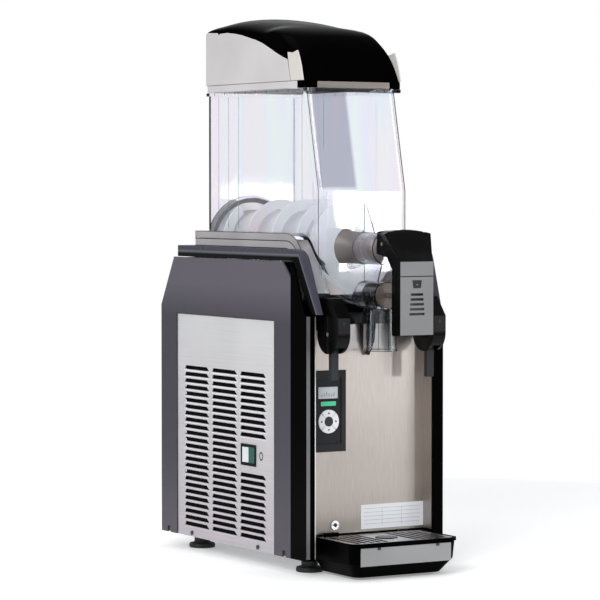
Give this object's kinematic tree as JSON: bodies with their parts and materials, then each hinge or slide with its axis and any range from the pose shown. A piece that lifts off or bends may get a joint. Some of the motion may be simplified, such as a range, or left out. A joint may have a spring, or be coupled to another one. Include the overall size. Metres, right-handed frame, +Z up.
{
  "type": "slushie machine",
  "caption": "Countertop frozen drink dispenser: slim louvred cabinet, clear bowl with turning spiral over a chilled drum, domed lid, pull-handle tap and drip tray.",
  "frame": {"origin": "on the floor under the centre of the outer box", "axes": "+X to the machine's right seen from the front, front faces -Y, +Z up"},
  "size_m": [0.25, 0.59, 0.87],
  "materials": {
    "galvanised_steel": "satin zinc",
    "foot_rubber": "matt",
    "side_plastic": "semi-gloss dark grey",
    "black_plastic": "gloss black",
    "deck_plastic": "gloss dark grey",
    "brushed_steel": "brushed",
    "front_steel": "vertically brushed",
    "inner_plastic": "matt",
    "dark_screw": "blackened",
    "clear_plastic": "clear polished",
    "gasket_rubber": "satin grey",
    "drum_steel": "polished",
    "copper": "bright",
    "cast_case": "cast",
    "white_plastic": "satin white",
    "nose_plastic": "satin brown grey",
    "piston_plastic": "satin brown grey",
    "handle_grey": "satin grey",
    "bezel_plastic": "satin",
    "display_glass": "gloss",
    "key_white": "satin",
    "key_dark": "satin",
    "switch_green": "gloss translucent",
    "grid_steel": "satin",
    "lid_silver": "satin pale grey",
    "plate_white": "satin",
    "chrome": "polished",
    "compressor_paint": "satin black",
    "condenser_fins": "mill"
  },
  "bodies": {
    "cabinet": {"base_frame": "galvanised_steel", "feet": "foot_rubber", "side_moulding_left": "side_plastic", "side_moulding_right": "side_plastic", "front_pillar_left": "black_plastic", "front_pillar_right": "black_plastic", "louver_panel_left": "brushed_steel", "louver_panel_right": "brushed_steel", "back_panel": "brushed_steel", "front_panel": "front_steel", "top_deck": "deck_plastic", "condensate_trough": "inner_plastic", "bulkhead": "inner_plastic", "panel_screws": "dark_screw", "bowl_gasket": "gasket_rubber", "bowl_seal": "gasket_rubber", "evaporator_drum": "drum_steel", "evaporator_coil": "copper", "gearmotor": "cast_case", "shaft_seal": "foot_rubber", "latch_pins": "drum_steel", "front_beam": "black_plastic", "control_frame": "black_plastic", "keypad_bezel": "bezel_plastic", "display_windows": "display_glass", "switch_bezel": "black_plastic", "rating_plate": "plate_white", "front_plug": "chrome", "power_inlet": "black_plastic", "compressor": "compressor_paint", "condenser": "condenser_fins", "fan_shroud": "galvanised_steel", "latch_housing_left": "black_plastic", "latch_housing_right": "black_plastic"},
    "bowl": {"bowl": "clear_plastic"},
    "auger": {"auger": "white_plastic", "auger_nose": "nose_plastic", "drive_shaft": "drum_steel"},
    "handle": {"handle_shell": "black_plastic", "handle_plate": "handle_grey", "pivot_pin": "drum_steel", "return_spring": "drum_steel"},
    "piston": {"tap_piston": "piston_plastic", "piston_seals": "foot_rubber"},
    "lid": {"lid_cover": "black_plastic", "lid_shell": "lid_silver", "lid_strip": "brushed_steel"},
    "left_latch": {"latch_lever_left": "black_plastic"},
    "right_latch": {"latch_lever_right": "black_plastic"},
    "rocker": {"switch_rocker": "switch_green"},
    "up_key": {"key_up": "key_white"},
    "down_key": {"key_down": "key_white"},
    "left_key": {"key_left": "key_white"},
    "right_key": {"key_right": "key_white"},
    "menu_key": {"key_menu": "key_dark"},
    "tray": {"drip_tray": "black_plastic", "tray_strip": "brushed_steel"},
    "grid": {"drip_grid": "grid_steel"},
    "float": {"tray_float": "black_plastic"},
    "fan": {"fan_blades": "inner_plastic"}
  },
  "joints": [
    {"name": "bowl_slide", "type": "slide", "parent": "cabinet", "child": "bowl", "axis": [0, -1, 0], "range_m": [0, 0.26]},
    {"name": "lid_lift", "type": "slide", "parent": "bowl", "child": "lid", "axis": [0, 0, 1], "range_m": [0, 0.12]},
    {"name": "auger_spin", "type": "hinge", "parent": "cabinet", "child": "auger", "pos_m": [0, 0, 0.502], "axis": [0, -1, 0], "continuous": true},
    {"name": "handle_pull", "type": "hinge", "parent": "bowl", "child": "handle", "pos_m": [0, -0.24, 0.51], "axis": [-1, 0, 0], "range_deg": [0, 15], "stiffness_Nm_per_rad": 2, "springref_deg": -8.59},
    {"name": "piston_slide", "type": "slide", "parent": "bowl", "child": "piston", "axis": [0, -1, 0], "range_m": [0, 0.0226]},
    {"name": "left_latch_turn", "type": "hinge", "parent": "cabinet", "child": "left_latch", "pos_m": [-0.08675, -0.195, 0.372], "axis": [-1, 0, 0], "range_deg": [0, 28]},
    {"name": "right_latch_turn", "type": "hinge", "parent": "cabinet", "child": "right_latch", "pos_m": [0.08675, -0.195, 0.372], "axis": [-1, 0, 0], "range_deg": [0, 28]},
    {"name": "power_switch", "type": "hinge", "parent": "cabinet", "child": "rocker", "pos_m": [-0.1185, 0.003, 0.1733], "axis": [0, 0, -1], "range_deg": [0, 8]},
    {"name": "up_key_press", "type": "slide", "parent": "cabinet", "child": "up_key", "axis": [0, 1, 0], "range_m": [0, 0.0008], "stiffness_N_per_m": 1500, "springref_m": -0.0003},
    {"name": "down_key_press", "type": "slide", "parent": "cabinet", "child": "down_key", "axis": [0, 1, 0], "range_m": [0, 0.0008], "stiffness_N_per_m": 1500, "springref_m": -0.0003},
    {"name": "left_key_press", "type": "slide", "parent": "cabinet", "child": "left_key", "axis": [0, 1, 0], "range_m": [0, 0.0008], "stiffness_N_per_m": 1500, "springref_m": -0.0003},
    {"name": "right_key_press", "type": "slide", "parent": "cabinet", "child": "right_key", "axis": [0, 1, 0], "range_m": [0, 0.0008], "stiffness_N_per_m": 1500, "springref_m": -0.0003},
    {"name": "menu_key_press", "type": "slide", "parent": "cabinet", "child": "menu_key", "axis": [0, 1, 0], "range_m": [0, 0.0008], "stiffness_N_per_m": 1500, "springref_m": -0.0003},
    {"name": "tray_slide", "type": "slide", "parent": "cabinet", "child": "tray", "axis": [0, -1, 0], "range_m": [0, 0.13]},
    {"name": "grid_lift", "type": "slide", "parent": "tray", "child": "grid", "axis": [0, 0, 1], "range_m": [0, 0.08]},
    {"name": "float_rise", "type": "slide", "parent": "tray", "child": "float", "axis": [0, 0, 1], "range_m": [0, 0.008]},
    {"name": "fan_spin", "type": "hinge", "parent": "cabinet", "child": "fan", "pos_m": [-0.07, 0.02, 0.16], "axis": [1, 0, 0], "continuous": true}
  ],
  "couplings": [
    {"joint": "piston_slide", "follows": "handle_pull", "m_per_rad": 0.0863}
  ]
}
